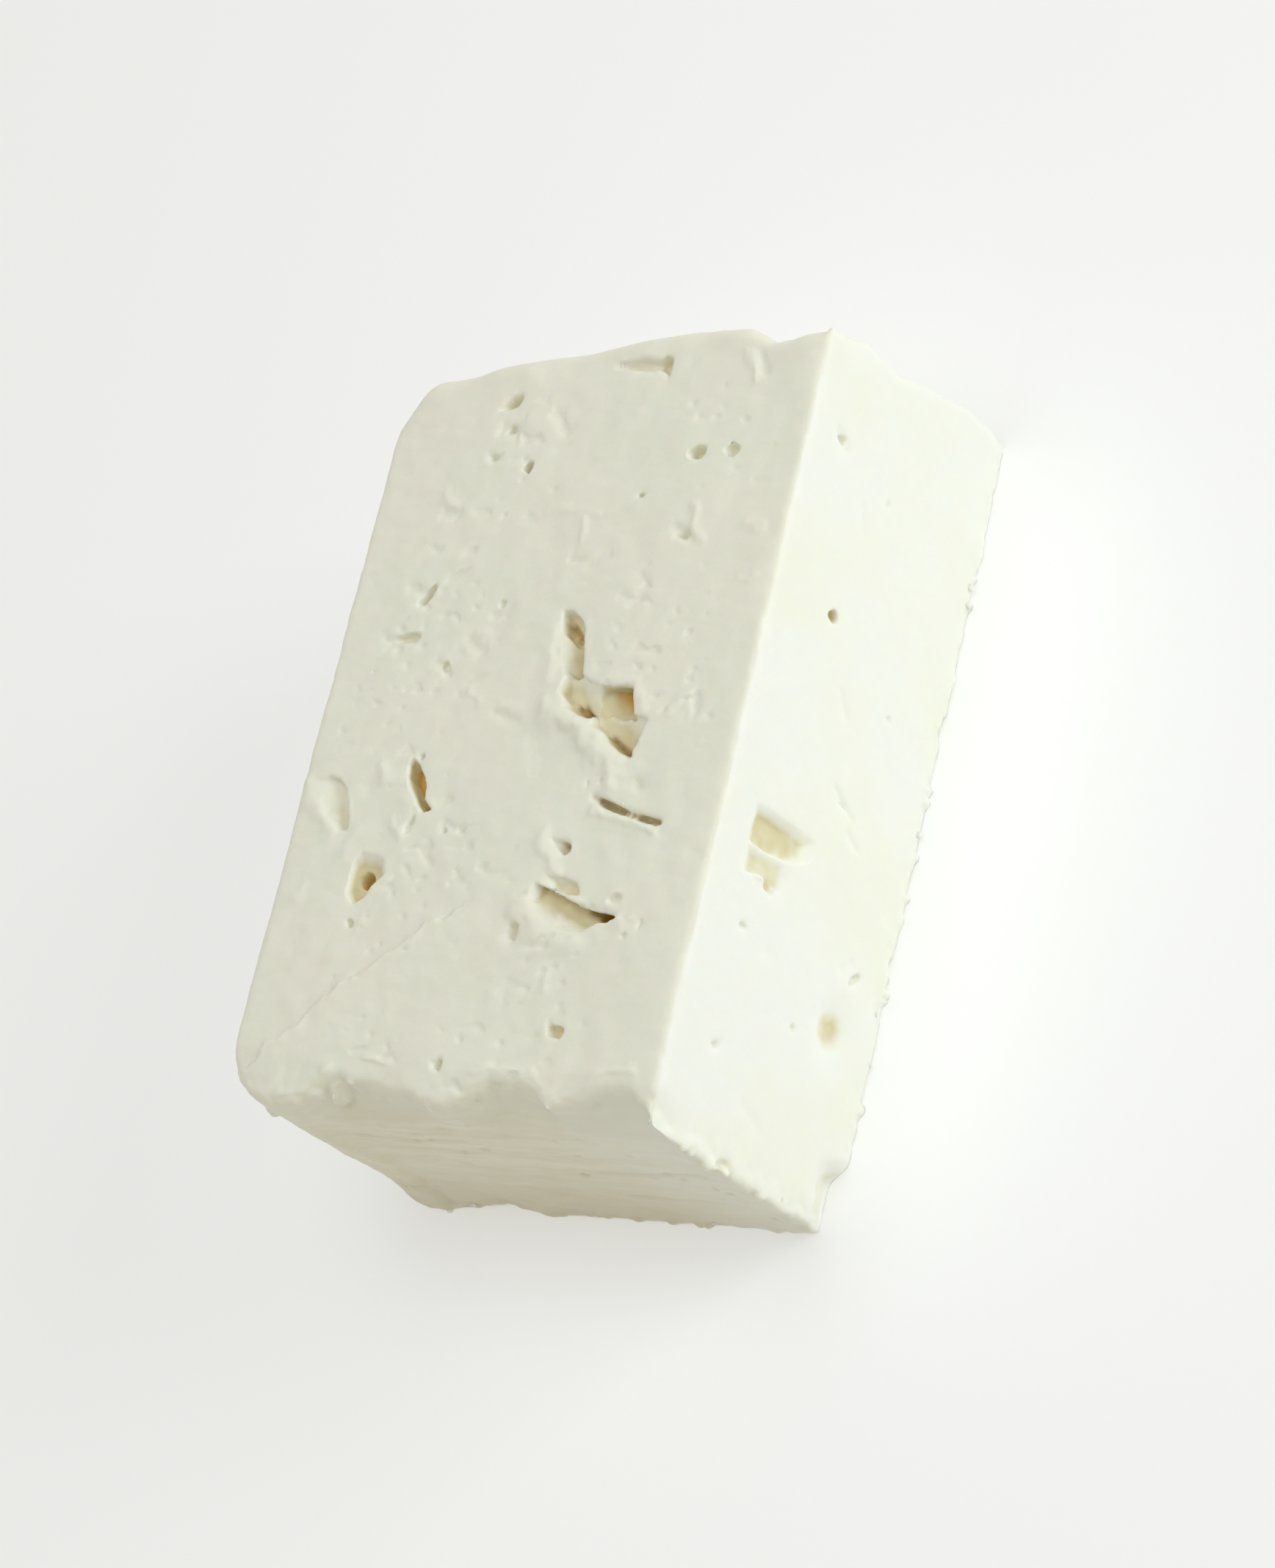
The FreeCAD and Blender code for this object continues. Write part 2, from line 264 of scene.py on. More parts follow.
# %% Large openings of the top face
TOP_OPENINGS = {
    "slot head": dict(
        mouth=[(16.9, -2.2), (16.8, -4.2), (15.2, -6.4), (13.6, -7.4), (11, -7.6), (11.6, -5.6),
               (13.6, -3)],
        depth=1.8, floor=0.86, slide=(-0.3, 0), tilt=(-0.26, 0.26), whey_and_shade=1.1,
    ),
    "slot crease": dict(
        mouth=[(14.8, -2.9), (13, -5.2), (11.9, -6.8), (11.5, -6.2), (12.6, -4.4), (14.3, -2.6)],
        depth=3.0, floor=0.7, slide=(0, -0.2), whey_and_shade=1.3,
    ),
    "slot foot": dict(
        mouth=[(14, -3.2), (12.4, -5.8), (11.4, -7.7), (9.2, -8), (7.2, -8.4), (6.6, -7), (7.2, -5.2),
               (9.6, -3.7), (12.2, -2.8)],
        depth=1.9, floor=0.9, slide=(0, -0.3), tilt=(0, -0.75), whey_and_shade=1.0,
    ),
    "slot corner": dict(
        mouth=[(11, -6.9), (10.9, -7.8), (8.8, -8.2), (7.3, -8.5), (7.5, -7.4), (9.4, -6.9)],
        depth=3.8, floor=0.7, slide=(0, -0.4), whey_and_shade=1.2,
    ),
    "groin": dict(
        mouth=[(8.4, -6), (7.6, -8.4), (6.4, -10.4), (5.6, -13.4), (1.4, -14), (0.7, -11.4),
               (1.6, -9), (3.4, -6.6), (4.8, -5.2)],
        depth=1.5, floor=0.92, slide=(-0.2, 0.1), tilt=(-0.26, 0.2), whey_and_shade=1.0,
    ),
    "groin crevice": dict(
        mouth=[(4.6, -5.6), (3.2, -8.4), (2.2, -10.2), (1.4, -12.2), (0.3, -11.4), (1, -9.2), (2.6, -6.6)],
        depth=3.3, floor=0.6, slide=(0.3, -0.2), whey_and_shade=1.1,
    ),
    "square hole": dict(
        mouth=[(5.4, -12.4), (5.3, -15.6), (5, -18.2), (2.6, -18.7), (0.5, -19.4), (0.2, -16.4),
               (1.2, -13), (3.4, -11.4)],
        depth=2.6, floor=0.92, slide=(0.3, -0.3), tilt=(0.3, -0.3), whey_and_shade=4.0,
    ),
    "wedge": dict(
        mouth=[(2.2, -11.8), (2.4, -13.4), (1.5, -14.6), (1.9, -16), (1, -17.4), (1.1, -19.6), (0.6, -22.3),
               (-1.8, -21.5), (-4.9, -20), (-3.4, -17.4), (-1.5, -14.6), (-0.3, -12.4)],
        depth=1.5, floor=0.92, slide=(-0.1, 0.1), tilt=(-0.34, 0.14), whey_and_shade=0.9,
    ),
    "wedge crevice": dict(
        mouth=[(-1.6, -15.2), (-3, -17.2), (-4, -19.6), (-4.9, -20.2), (-4.3, -18.2), (-2.6, -15.6)],
        depth=3.2, floor=0.6, slide=(0.2, -0.2), whey_and_shade=1.4,
    ),
    "wedge tip": dict(
        mouth=[(-1, -21), (-2.8, -19.8), (-4, -18.6), (-5, -20), (-3, -21.2)],
        depth=3.0, floor=0.6, slide=(0, 0.2), whey_and_shade=1.2,
    ),
    "slit": dict(
        mouth=[(-4.2, 18.7), (-5.4, 17), (-7, 15.6), (-8.6, 14.9), (-10.4, 14.5), (-12.1, 12.6),
               (-12.5, 14.4), (-11.3, 15.6), (-9.8, 16.7), (-8.4, 18), (-6.8, 19), (-5, 19.3)],
        depth=2.9, floor=0.75, slide=(0, 0.2), whey_and_shade=5.0,
    ),
    "hollow": dict(
        mouth=[(-17.8, 24), (-18.2, 21.4), (-18.8, 19.2), (-21.4, 18.6), (-22.6, 20.4), (-24.4, 21.4),
               (-25.6, 23.4), (-24, 25), (-21, 25.2), (-19, 25)],
        depth=1.6, floor=0.6, slide=(-0.5, 0.3), tilt=(-0.12, 0), whey_and_shade=2.1,
    ),
    "hollow core": dict(
        mouth=[(-20, 22.8), (-20.6, 21.6), (-22, 21.4), (-23.2, 22.6), (-22.6, 24.2), (-21, 24.4)],
        depth=3.6, floor=0.55, slide=(-0.2, 0.2), whey_and_shade=2.4,
    ),
    "leaf": dict(
        mouth=[(-6.8, 37), (-6.2, 34.2), (-7, 31.8), (-8.6, 29.8), (-11, 28.7), (-14.8, 27.6),
               (-15, 29.6), (-12.6, 33), (-9.8, 36)],
        depth=1.5, floor=0.75, slide=(0.3, -0.6), tilt=(0.06, -0.36), whey_and_shade=0.5,
    ),
    "shell": dict(
        mouth=[(-22.4, -9.2), (-23.4, -12), (-25, -16.4), (-26.2, -20.2), (-27, -24.4), (-28.4, -21.6),
               (-29.7, -19.2), (-29.4, -16.2), (-28.4, -13.2), (-26.8, -10.4), (-24.8, -8.8)],
        depth=2.0, floor=0.9, slide=(0.6, -0.3), tilt=(0.46, -0.22), whey_and_shade=1.7,
    ),
    "shell tip": dict(
        mouth=[(-26.1, -19.8), (-26.5, -22), (-27.1, -24.9), (-28, -23.6), (-28.3, -21.2), (-27.4, -19.4)],
        depth=4.2, floor=0.7, slide=(0.6, -0.3), whey_and_shade=2.6,
    ),
    "shell recess": dict(
        mouth=[(-21.4, -10.6), (-21.5, -14), (-22.6, -16.8), (-24.4, -18), (-24.3, -15.2), (-23.3, -12.2)],
        depth=1.2, floor=0.7, tilt=(-0.3, 0), whey_and_shade=1.0,
    ),
    "small shell": dict(
        mouth=[(-40.3, -16.8), (-42, -18), (-42.3, -20.5), (-43.9, -20), (-43.5, -17.6)],
        depth=1.5, floor=0.6, tilt=(0.2, -0.2), whey_and_shade=1.2,
    ),
    "notch": dict(
        mouth=[(-16, -9.8), (-16.4, -12.4), (-16.9, -13.9), (-18.3, -14), (-18.9, -13),
               (-18, -11.8), (-17, -10.2)],
        depth=1.4, floor=0.6, tilt=(0, -0.32), whey_and_shade=0.8,
    ),
    "crack": dict(
        mouth=[(-10, -15), (-11, -18), (-11.9, -20.4), (-12.8, -22.7), (-13.3, -22.5), (-12.7, -20),
               (-11.8, -17.4)],
        depth=1.4, floor=0.85, slide=(0.2, 0), whey_and_shade=2.0,
    ),
    "crack end": dict(
        mouth=[(-12.8, -22.5), (-13.2, -24.8), (-14, -28.2), (-14.6, -27.8), (-14, -25), (-13.4, -22.5)],
        depth=1.3, floor=0.85, slide=(0.2, 0), whey_and_shade=2.0,
    ),
}
for opening in TOP_OPENINGS.values():
    plug(on_top(0, 0), X, Z, **opening)
print(len(plug_list), "openings in the top face")

# %% Large openings of the cut side
CUT_OPENINGS = {
    "deep lobe": dict(
        mouth=[(-9, 33.8), (-9, 30), (-9.3, 26), (-9.9, 20.8), (-12.8, 21.2), (-14.6, 25),
               (-14.9, 30), (-14.4, 34.2)],
        depth=1.3, floor=0.62, slide=(-0.5, 0.1), tilt=(0.02, 0), whey_and_shade=1.9,
    ),
    "flat lobe": dict(
        mouth=[(-14.6, 34), (-14.3, 30), (-14.2, 24.4), (-16.5, 24), (-19, 24.8), (-18.8, 27),
               (-17.8, 30.5), (-18.6, 34)],
        depth=1.0, floor=0.58, slide=(-0.3, 0.2), tilt=(-0.03, 0), whey_and_shade=2.0,
    ),
    "dart": dict(
        mouth=[(-16.8, 29.8), (-17, 27.2), (-18.6, 26.2), (-20, 27.2), (-19.2, 29.2)],
        depth=1.2, floor=0.5, whey_and_shade=2.6,
    ),
}
cut_start = on_cut(0, 0)
cut_lean = Vector((0, CUT_LEAN, HEIGHT)).normalized()
cut_out = X.cross(cut_lean)
for opening in CUT_OPENINGS.values():
    plug(cut_start, X, cut_out, **opening)
# A soft round hollow is only sculpted, further on, but its reach and its stain, which also sets painted
# shade, are noted with the rest.
SOFT_HOLLOW = (-32.2, 9.8)
plug_facts.append((on_cut(*SOFT_HOLLOW), 3.8 * MM, 3))
print(len(plug_list), "openings so far")

# %% [markdown]
# ### The small pits
# Small pits are all alike: an uneven ring of a few corners. One function draws the ring, and a list
# for each face says where they are, how large, and how they are turned. The moulded side and the
# two ends have fewer of them. Those of the top face open a little wider and deeper than listed.

# %% Small pits of every face
RING_CORNERS = 7
UNEVEN = 0.16
TOP_WIDER, TOP_DEEPER, TOP_WHEY_AND_SHADE = 1.12, 1.25, 0.5


def ring(length, width, turn):
    """The corners of an uneven ring, in mm, turned by some degrees."""
    turn = math.radians(turn)
    corners = []
    for i in range(RING_CORNERS):
        around = math.tau * i / RING_CORNERS
        size = 1 + UNEVEN * math.sin(3 * i + length)
        u, v = length / 2 * size * math.cos(around), width / 2 * size * math.sin(around)
        corners.append((u * math.cos(turn) - v * math.sin(turn), u * math.sin(turn) + v * math.cos(turn)))
    return corners


# Each pit: its place on the face, length, width, depth, turn in degrees, and how whey-stained it is, which
# also sets its painted shade.
TOP_PITS = [
    (39, -19.4, 2, 3.2, 1.5, 0, 0.2),
    (39, -25.3, 1.6, 2.6, 1.2, -12, 0.2),
    (51.4, -5.8, 1.6, 9.8, 1, -4, 0.3),
    (51.2, -9.6, 1.8, 3.2, 1.5, 0, 1.2),
    (50.8, -10.6, 2.4, 1.2, 1, 10, 0.5),
    (48.6, 17, 1.5, 4.6, 1.5, 14, 0.5),
    (45, 16, 1.4, 2.6, 0.8, 20, 0.1),
    (39.1, 10.9, 1.9, 2, 1.9, 0, 0.6),
    (41, 18, 1.2, 2.2, 0.7, 0, 0.1),
    (33.2, -11.2, 0.9, 1.6, 1.1, 0, 0.2),
    (20.4, 24, 4.6, 1.5, 1.3, -42, 0.2),
    (14, 26, 1.1, 5.4, 0.8, 5, 0.2),
    (18.4, 9.4, 1, 1.3, 0.9, 0, 0.1),
    (9.5, 17.4, 1, 1.8, 0.8, -20, 0.1),
    (26.8, -20.6, 1.8, 3, 0.9, 0, 0.1),
    (-4.1, 17.2, 0.9, 1.2, 1.3, 0, 0.2),
    (-14, 16.2, 3.2, 1.1, 0.8, -20, 0.2),
    (-15, 9.6, 0.7, 1.2, 0.7, 0, 0.1),
    (-15, 6.6, 0.7, 1.4, 0.7, 0, 0.1),
    (-28.4, 22.8, 0.9, 1.7, 1, -35, 0.3),
    (-29.4, -7.6, 2.6, 2.6, 1, 0, 0.1),
    (-28.2, -29, 1.5, 0.8, 0.8, 0, 0.2),
    (-29.8, -26.8, 0.8, 1.4, 0.8, 0, 0.2),
    (-47.8, 0, 1.6, 1.9, 1.3, 0, 0.1),
    (-8.6, -14.2, 1.3, 0.7, 0.7, 0, 0.1),
    (-8.4, -16.4, 0.8, 1.1, 0.5, 0, 0.1),
    (-24.8, -23.8, 1.2, 2.6, 0.7, 10, 0.5),
]
CUT_PITS = [
    (19.6, 27.2, 1.8, 2.3, 2.2, 0, 1.6),
    (42.6, 33, 1.3, 2.4, 0.9, 0, 0.1),
    (-24.2, 7.4, 3.6, 1.4, 1, -48, 0.6),
    (-34.4, 17.6, 1.2, 1.6, 0.8, 0, 0.8),
    (-3.4, 17.6, 0.9, 3.4, 0.5, 0, 0.1),
    (-41.2, 31.2, 1.2, 1.6, 0.6, 0, 0.1),
    (38.4, 21.4, 1.6, 1.6, 0.4, 0, 0.1),
    (-25.2, 31, 1, 2.2, 0.4, 0, 0.1),
    (11, 12, 1.2, 1.6, 0.5, 0, 0.2),
]
SKIN_PITS = [
    (23, 25, 6, 3, 2.4, 20, 0.6),
    (-2, 14, 3.4, 2.4, 1.6, -30, 0.4),
    (-29, 22, 4.6, 2, 1.8, 50, 0.5),
    (-38, 31, 1.6, 1.2, 0.9, 0, 0.2),
    (8, 33, 1.2, 1.6, 0.8, 0, 0.2),
    (36, 11, 1.4, 2.2, 0.9, 0, 0.2),
]
FAR_PITS = [
    (-15, 24, 5, 3, 2.4, -25, 0.7),
    (12, 15, 3.2, 2.2, 1.6, 15, 0.5),
    (-27, 10, 1.6, 1.2, 0.9, 0, 0.2),
    (22, 31, 1.4, 2.4, 0.9, 0, 0.2),
    (1, 33, 1, 1.4, 0.7, 0, 0.2),
]
NEAR_PITS = [
    (-9, 17, 2.6, 1.2, 0.9, 8, 0.2),
    (14, 26, 1.8, 0.8, 0.7, 0, 0.2),
]
for x, y, length, width, depth, turn, whey_and_shade in TOP_PITS:
    mouth = ring(length * TOP_WIDER, width * TOP_WIDER, turn)
    plug(on_top(x, y), X, Z, mouth, depth * TOP_DEEPER, 0.6, whey_and_shade=whey_and_shade + TOP_WHEY_AND_SHADE)
OTHER_FACES = [
    (CUT_PITS, on_cut, X, cut_out),
    (SKIN_PITS, on_skin, -X, Y),
    (FAR_PITS, on_far, Y, X),
    (NEAR_PITS, on_near, -Y, -X),
]
for pits, on_face, along, outwards in OTHER_FACES:
    for first, second, length, width, depth, turn, whey_and_shade in pits:
        plug(on_face(first, second), along, outwards, ring(length, width, turn), depth, 0.4, whey_and_shade=whey_and_shade)
print(len(plug_list), "plugs in all")

# %% [markdown]
# ### Broken edges
# Feta crumbles where it is handled. Bits have come off the upright edges and the foot. A chip is the
# same kind of plug, but it looks out of the edge at a slant.

# %% Chips
# Each chip: its place, the way that it looks, its long way, its length, width and depth in mm.
CHIPS = [
    (on_cut(57, 25), Vector((1, -1, 0)), Z, 6, 3, 0.6),
    (on_cut(-54, 25), Vector((-1, -1, 0)), Z, 5, 2.4, 0.7),
    (on_cut(-20, 0), Vector((0, -1, -1)), X, 5, 2.6, 0.9),
    (on_cut(14, 0), Vector((0, -1, -1)), X, 7, 2.6, 0.8),
    (on_near(20, 0), Vector((-1, 0, -1)), Y, 9, 2.6, 0.8),
]
for place, way, along, length, width, depth in CHIPS:
    outwards = way.normalized()
    along = (along - outwards * along.dot(outwards)).normalized()
    plug(place, along, outwards, ring(length, width, 0), depth, 0.5, whey_and_shade=0.0)
print(len(CHIPS), "chips")

# %% Cut all plugs out of the block
cutters = choose(*plug_list)
bpy.ops.object.join()
cutters.name = "cutters"
apply_modifier(curd, "BOOLEAN", object=cutters, operation="DIFFERENCE", solver="EXACT", use_self=True)
bpy.data.objects.remove(cutters)
print("the cut block has", len(curd.data.polygons), "faces")

# %% Read and write points as arrays


def points_of(piece):
    flat = np.empty(len(piece.data.vertices) * 3)
    piece.data.vertices.foreach_get("co", flat)
    return flat.reshape(-1, 3)


def normals_of(piece):
    flat = np.empty(len(piece.data.vertices) * 3)
    piece.data.vertex_normals.foreach_get("vector", flat)
    return flat.reshape(-1, 3)


def set_points(piece, points):
    piece.data.vertices.foreach_set("co", points.ravel())
    piece.data.update()


def depth_below(surface, points):
    """How far each point lies below a surface. A point outside it is below zero."""
    depths = np.empty(len(points))
    for i, spot in enumerate(points):
        found, normal, _, distance = surface.find_nearest(Vector(spot))
        depths[i] = math.copysign(distance, (found - Vector(spot)).dot(normal))
    return depths


def say_moved(what, moves):
    """Prints the least and the greatest of some moves, which are in mm."""
    print(what, "moved by", round(float(moves.min()), 2), "to", round(float(moves.max()), 2), "mm")


print("arrays are ready")

# %% [markdown]
# ### Smooth noise
# Unevenness in food has no pattern but it does have a size. This function blends random values on
# the corners of a tilted grid, so they change smoothly over about one length, the same on every
# run. Stretching the points first makes streaks instead of lumps.

# %% Lumps
TILT = np.array(Matrix.Rotation(0.7, 3, Vector((1, 2, 3)).normalized()))
TABLE = 4096
MIXERS = (73856093, 19349663, 83492791)


def lumps(points, size, seed):
    """Smooth random values from -1 to 1 that change over about size."""
    table = np.random.default_rng(seed).uniform(-1, 1, TABLE)
    grid = points @ TILT / size
    base = np.floor(grid).astype(np.int64)
    ease = grid - base
    ease = ease * ease * (3 - 2 * ease)
    total = np.zeros(len(points))
    for step in itertools.product((0, 1), repeat=3):
        weight = np.prod(np.where(step, ease, 1 - ease), axis=1)
        i, j, k = ((base + step) * MIXERS).T
        total += weight * table[(i ^ j ^ k) & (TABLE - 1)]
    return total


def fade(values, start, end):
    """0 at start and 1 at end, smoothly."""
    t = np.clip((values - start) / (end - start), 0, 1)
    return t * t * (3 - 2 * t)


print("noise is ready")

# %% [markdown]
# ## Crumbs that have stuck
# Where curd has broken, crumbs cling to it. One crumb is a lump with an uneven skin. Many of them are
# pressed halfway into the foot and the torn edges now, so that the remesh further on melts them
# into the block. They use one seeded row of random numbers, so the result is the same each run.

# %% One crumb
random = np.random.default_rng(41)


def crumb(place, size):
    """One uneven crumb at its place."""
    bpy.ops.object.select_all(action="DESELECT")
    bpy.ops.mesh.primitive_ico_sphere_add(subdivisions=2, radius=size)
    piece = bpy.context.object
    uneven = points_of(piece)
    uneven *= 1 + 0.22 * lumps(uneven + random.uniform(-1, 1, 3), size, 5)[:, None]
    uneven *= random.uniform(0.7, 1.15, 3)
    turn = Matrix.Rotation(random.uniform(0, math.tau), 3, Vector(random.normal(size=3)).normalized())
    set_points(piece, uneven @ np.array(turn) + np.array(place))
    return piece


print("a crumb is ready to copy")

# %% Press crumbs into the edges
# Large crumbs of the torn edge: place across and up the near end, and radius, in mm.
LARGE_CRUMBS = [(18.6, 37.4, 1.9), (15.4, 38.2, 1.4), (12.2, 37, 1.1), (3.2, 37.6, 1), (1.2, 38.4, 0.9),
                (-19.6, 38.4, 1), (-21.4, 38.2, 0.8), (-31.5, 38.6, 0.9), (33, 35, 1.2)]
# Foot edges: the face, the way into the block, and where the crumbs start and end, in mm.
FOOT_EDGES = [(on_cut, Y, -47, 54), (on_near, X, -33, 31)]
FOOT_CRUMBS = 9
UPRIGHT_CRUMBS = 5
SUNK = 0.6 * MM
stuck = []
for y_mm, z_mm, size in LARGE_CRUMBS:
    stuck.append(crumb(on_near(y_mm, z_mm) + X * SUNK, size * MM))
for on_face, inwards, first, last in FOOT_EDGES:
    for along_mm in random.uniform(first, last, FOOT_CRUMBS):
        size = random.uniform(0.5, 1.1) * MM
        stuck.append(crumb(on_face(along_mm, 0.5) + inwards * size * 0.5, size))
for z_mm in random.uniform(14, 38, UPRIGHT_CRUMBS):
    spot = on_cut(near_x(z_mm * MM) / MM, z_mm)
    stuck.append(crumb(spot + (X * 0.3 + Y * 0.7) * MM, random.uniform(0.5, 0.9) * MM))
choose(*stuck, curd)
bpy.ops.object.join()
print(len(stuck), "crumbs pressed in")

# %% [markdown]
# ## From flat faces to curd
# A voxel remesh turns the few large faces into an even skin of small ones, which a sculptor could
# then work on. It also rounds every edge by about a voxel, as wet curd rounds. The work that
# follows is done on all points at once, with arrays of numbers.

# %% Remesh
VOXEL = 0.30 * MM
apply_modifier(curd, "REMESH", mode="VOXEL", voxel_size=VOXEL, adaptivity=0.0)
print("remeshed:", len(curd.data.vertices), "points")

# %% [markdown]
# ### Three strokes of a sculpting tool
# A dab raises or sinks a round spot, a stroke does it along a path, and a ledge raises one side of
# a path and drops back sharply at it, which is how a flap of curd or the mark of a wire looks.

# %% Dab, stroke and ledge


def path_distance(u, v, path):
    """Each point's distance from a path, and which side it is on (+1 is left of the path)."""
    nearest = np.full(len(u), np.inf)
    side = np.ones(len(u))
    for (u0, v0), (u1, v1) in zip(path, path[1:]):
        du, dv = u1 - u0, v1 - v0
        t = np.clip(((u - u0) * du + (v - v0) * dv) / (du * du + dv * dv), 0, 1)
        distance = np.hypot(u - u0 - t * du, v - v0 - t * dv)
        closer = distance < nearest
        nearest = np.where(closer, distance, nearest)
        side = np.where(closer, np.sign(du * (v - v0) - dv * (u - u0)), side)
    return nearest, side


def dab(u, v, at, radius, height):
    """A round bump, or a hollow where height is below zero."""
    return height * np.exp(-((u - at[0]) ** 2 + (v - at[1]) ** 2) / radius**2)


def stroke(u, v, path, radius, height):
    """A ridge along a path, or a groove where height is below zero."""
    distance, _ = path_distance(u, v, path)
    return height * np.exp(-((distance / radius) ** 2))


def ledge(u, v, path, reach, height, sharp=0.3):
    """Left of the path it rises over a short way, sharp, and then sinks back over reach."""
    distance, side = path_distance(u, v, path)
    signed = distance * side
    return height * fade(signed, -sharp, sharp) * np.exp(-((np.maximum(signed, 0) / reach) ** 2))


def sculpt(u, v, rows):
    """The height that many strokes add up to. Each row is a tool and its settings."""
    return sum(tool(u, v, *settings) for tool, *settings in rows)


print("sculpting tools are ready")

# %% [markdown]
# ### Less straight outlines
# The plugs have straight sides, and curd hasn't. So every point is pushed a little along the skin,
# by two sizes of noise. A push out of the skin would look like scales, so nearly all of that part
# is taken away. The crisp edge between the top face and the cut side stays straight.

# %% Make edges and outlines wander
WIDE_WANDER, FINE_WANDER = 0.34, 0.20
TAKEN_AWAY = 0.9
points = points_of(curd)
normals = normals_of(curd)
wander = np.zeros_like(points)
for axis in range(3):
    wander[:, axis] = WIDE_WANDER * lumps(points, 2.2 * MM, 31 + axis)
    wander[:, axis] += FINE_WANDER * lumps(points, 1.0 * MM, 34 + axis)
wander -= TAKEN_AWAY * (wander * normals).sum(axis=1)[:, None] * normals
from_crisp_edge = np.hypot(points[:, 1] - cut_y(points[:, 2]), high.z - points[:, 2])
wander *= fade(from_crisp_edge, 1 * MM, 4 * MM)[:, None]
points += wander * MM * fade(points[:, 2], 0.2 * MM, 1.5 * MM)[:, None]
set_points(curd, points)
say_moved("outlines", wander)

# %% [markdown]
# ### Creases
# Under a flap of curd the opening ends in a narrow crease. These paths sink a little more, and the
# finish uses them again for painted shade: the creases are painted dark brown.

# %% Crease paths
CREASE_RADIUS = 0.45
CREASE_SINK = 0.55
CREASES = [
    [(-1.8, -15.2), (-3.4, -17.6), (-4.7, -20.2)],
    [(4.9, -17), (4.6, -17.9), (2.6, -18.5), (0.9, -19.1)],
    [(14.9, -3.2), (12.6, -6), (11.6, -7.2)],
    [(10.8, -7.5), (7.5, -8.1)],
    [(2.8, -9.4), (0.8, -11.8)],
    [(-25.6, -18.6), (-26.4, -21.4), (-27.2, -24.4)],
    [(-10.4, -15.8), (-11.6, -18.6), (-12.8, -22.4)],
    [(-12.9, -22.8), (-13.6, -25.2), (-14.1, -28)],
    [(-17, -12.4), (-17.8, -13.6)],
]


def crease_nearness(points):
    """1 on a crease path of the top face, fading to 0 a few radii away."""
    u, v = points[:, 0] / MM, points[:, 1] / MM
    nearest = np.min([path_distance(u, v, path)[0] for path in CREASES], axis=0)
    near_top = fade(points[:, 2], high.z - 7 * MM, high.z - 5 * MM)
    return np.exp(-((nearest / CREASE_RADIUS) ** 2)) * near_top


points = points_of(curd)
sink = CREASE_SINK * crease_nearness(points)
points[:, 2] -= sink * MM
set_points(curd, points)
say_moved("creases", -sink)

# %% [markdown]
# ### Sculpt the top face
# The flap beside the cluster, the lips of the shell, the long ridge near the end and many faint
# marks are too soft for plugs. They move the skin straight up or down. The face is measured by two
# numbers, u along it and v across it, with noise added, so that no stroke runs quite straight.

# %% Top face strokes
WIDE_BEND, FINE_BEND = 0.8, 0.4
FLAP_RIDGE = [(2.2, -4), (0.4, -8), (-0.9, -11), (-3.2, -13.6), (-6.2, -16.8), (-7.8, -18.6)]
LONG_RIDGE = [(-28.5, 7), (-36, 19), (-46.5, 32)]
# Each faint mark: its start and end on the face, its radius, and its height, of which a raised
# mark gets only a share.
RAISED_SHARE = 0.7
MARKS = [
    ((44.9, 17.6), (44.4, 15.2), 0.9, -0.4),
    ((41.2, 18.8), (40.8, 17), 0.7, -0.35),
    ((45.8, 8.6), (44.2, 5.4), 0.7, -0.35),
    ((46.2, 12.4), (45.6, 9.4), 1.4, 0.35),
    ((35.4, 25.8), (34.8, 23.6), 1, 0.38),
    ((33.2, 25.4), (32.6, 22.8), 0.9, -0.35),
    ((32.6, 5), (31.6, -4), 0.7, 0.2),
    ((30.4, -1.4), (27.2, -2.8), 0.6, 0.3),
    ((31.4, -21.2), (26.6, -23.6), 0.7, 0.4),
    ((27.4, -19.2), (26.8, -21.4), 1, -0.42),
    ((27.8, -30.5), (26.6, -34), 0.7, 0.28),
    ((19.9, -31.6), (19.5, -35), 0.6, 0.24),
    ((21.8, 27.6), (20.2, 24.2), 0.8, -0.32),
    ((14.2, 30.4), (13.8, 24.2), 0.6, -0.3),
    ((13.4, 14), (11.8, 11.2), 0.8, -0.3),
    ((14.6, 13.4), (13.6, 10.4), 0.7, 0.2),
    ((10, 18.8), (9, 16.8), 0.6, -0.34),
    ((1.8, 5.8), (1, 1.8), 0.8, -0.32),
    ((3, 4.6), (2.6, 1.6), 0.7, 0.2),
    ((5.2, 11.2), (3.4, 8.8), 0.6, 0.26),
    ((18.2, -12.6), (17.4, -17.8), 0.6, -0.24),
    ((3.6, -28.4), (1.4, -24.8), 0.6, 0.28),
    ((3.6, -29.2), (1, -30.2), 0.6, -0.34),
    ((-14, 10.4), (-14.8, 5.6), 0.5, -0.3),
    ((-24.2, 34.8), (-23.8, 33.4), 1, 0.32),
    ((-48, 13.2), (-48.6, 9.6), 0.6, 0.3),
    ((-17.4, 7.4), (-16.4, 3.8), 0.5, -0.18),
    ((24.9, -1.4), (24.6, -3), 0.6, -0.28),
    ((23.6, -4.8), (24.2, -8), 0.6, -0.22),
    ((52.4, -24.8), (50.4, -26.8), 0.7, 0.36),
    ((52.8, -26.4), (51, -28), 0.7, -0.36),
    ((-20.2, 1), (-21, -3.4), 0.6, -0.16),
    ((-35, -14.6), (-37.4, -15), 0.6, 0.24),
]
